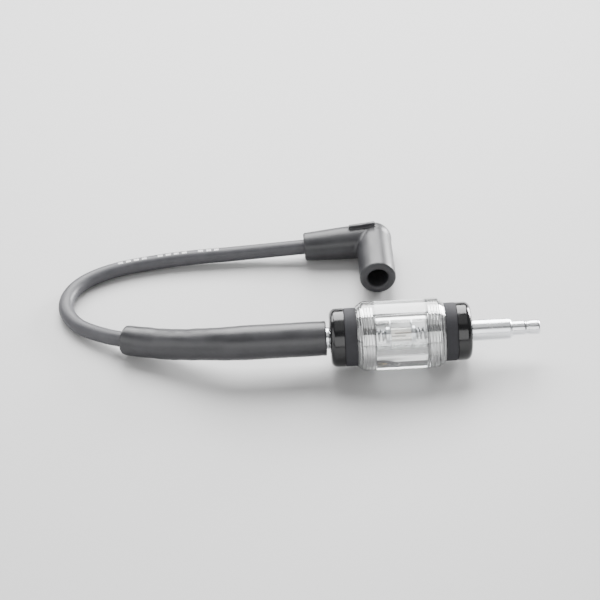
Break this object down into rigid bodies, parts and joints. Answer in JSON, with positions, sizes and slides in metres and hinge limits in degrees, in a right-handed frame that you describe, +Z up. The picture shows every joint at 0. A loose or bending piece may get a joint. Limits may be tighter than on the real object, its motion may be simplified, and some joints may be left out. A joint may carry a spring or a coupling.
{
  "type": "spark plug tester",
  "caption": "In-line ignition spark tester: clear barrel with an indicator lamp, screw-in end plugs, push-on terminal post, and an ignition lead with a right-angled boot.",
  "frame": {"origin": "on the ground under the middle of the rigid part, from the stud's end to the tip of the post", "axes": "+X along the barrel towards the terminal post, +Y away from the viewer, towards the boot, +Z up"},
  "size_m": [0.2149, 0.1052, 0.0304],
  "materials": {
    "clear_acrylic": "clear, polished outside",
    "black_plastic": "gloss",
    "plated_metal": "bright plated",
    "washer_metal": "plain",
    "spring_steel": "drawn wire",
    "lamp_glass": "clear",
    "electrode_metal": "matte",
    "brass": "satin",
    "sleeve_rubber": "satin",
    "lead_rubber": "satin",
    "lead_core": "matte",
    "boot_rubber": "satin"
  },
  "bodies": {
    "barrel": {"barrel": "clear_acrylic", "lamp_glass": "lamp_glass", "lamp_cap_post": "plated_metal", "lamp_cap_lead": "plated_metal", "lamp_electrode_post": "electrode_metal", "lamp_electrode_lead": "electrode_metal", "post_spring": "spring_steel", "lead_spring": "spring_steel"},
    "post_carrier": {"terminal_post": "plated_metal", "post_washer": "washer_metal", "post_clip": "spring_steel"},
    "post_plug": {"post_plug": "black_plastic"},
    "lead_carrier": {"lead_stud": "plated_metal", "lead_washer": "washer_metal", "lead_clip": "spring_steel", "lead_crimp": "brass", "lead_sleeve": "sleeve_rubber", "lead_jacket": "lead_rubber", "lead_core": "lead_core"},
    "lead_plug": {"lead_plug": "black_plastic"},
    "boot": {"boot": "boot_rubber", "boot_terminal": "brass", "boot_clip": "spring_steel"}
  },
  "joints": [
    {"name": "post_travel", "type": "slide", "parent": "barrel", "child": "post_carrier", "axis": [1, 0, 0], "range_m": [0, 0.00762], "deforming": ["post_spring"]},
    {"name": "post_turn", "type": "hinge", "parent": "post_carrier", "child": "post_plug", "pos_m": [0.01, 0, 0.0152], "axis": [1, 0, 0], "range_deg": [0, 2160]},
    {"name": "lead_travel", "type": "slide", "parent": "barrel", "child": "lead_carrier", "axis": [-1, 0, 0], "range_m": [0, 0.00762], "deforming": ["lead_spring"]},
    {"name": "lead_turn", "type": "hinge", "parent": "lead_carrier", "child": "lead_plug", "pos_m": [-0.023, 0, 0.0152], "axis": [-1, 0, 0], "range_deg": [0, 2160]},
    {"name": "boot_swivel", "type": "hinge", "parent": "lead_carrier", "child": "boot", "pos_m": [-0.0129, 0.0815, 0.0085], "axis": [0.9987, 0, 0.0506], "range_deg": [-90, 90]}
  ],
  "couplings": [
    {"joint": "post_turn", "follows": "post_travel", "rad_per_m": 4947.4},
    {"joint": "lead_turn", "follows": "lead_travel", "rad_per_m": 4947.4}
  ]
}
